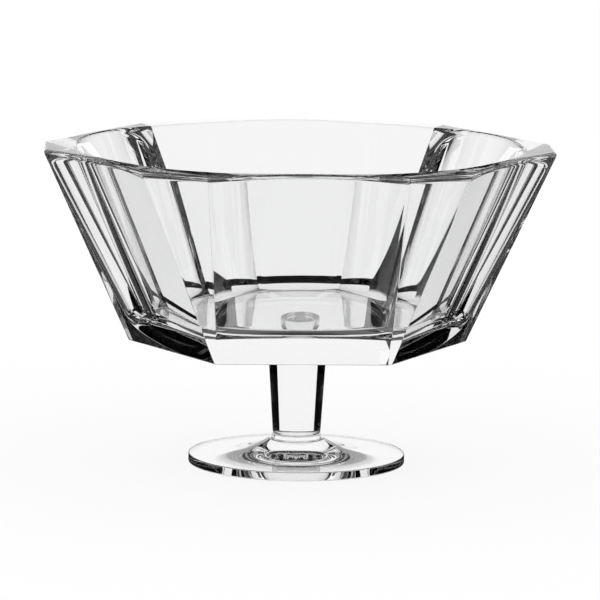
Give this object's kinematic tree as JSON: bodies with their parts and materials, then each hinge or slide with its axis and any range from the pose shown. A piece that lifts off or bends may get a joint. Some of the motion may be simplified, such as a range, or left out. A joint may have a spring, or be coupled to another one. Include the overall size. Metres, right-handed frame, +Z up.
{
  "type": "footed fruit bowl",
  "caption": "Clear glass fruit bowl with flat flared sides and cut corners, round inside, on a solid tapered stem and a round domed foot.",
  "frame": {"origin": "middle of the foot's flat underside", "axes": "+Z up along the stem, through the middle of the bowl; a main side of the bowl faces -Y and cut corners face +X and -X"},
  "size_m": [0.2566, 0.2406, 0.1607],
  "materials": {
    "clear_glass": "clear colourless glass, fire polished",
    "clear_cement": "thin clear cured cement"
  },
  "bodies": {
    "root": {"foot": "clear_glass", "foot_bond": "clear_cement", "stem_collar": "clear_glass", "stem": "clear_glass", "bowl_bond": "clear_cement", "bowl": "clear_glass"}
  },
  "joints": []
}
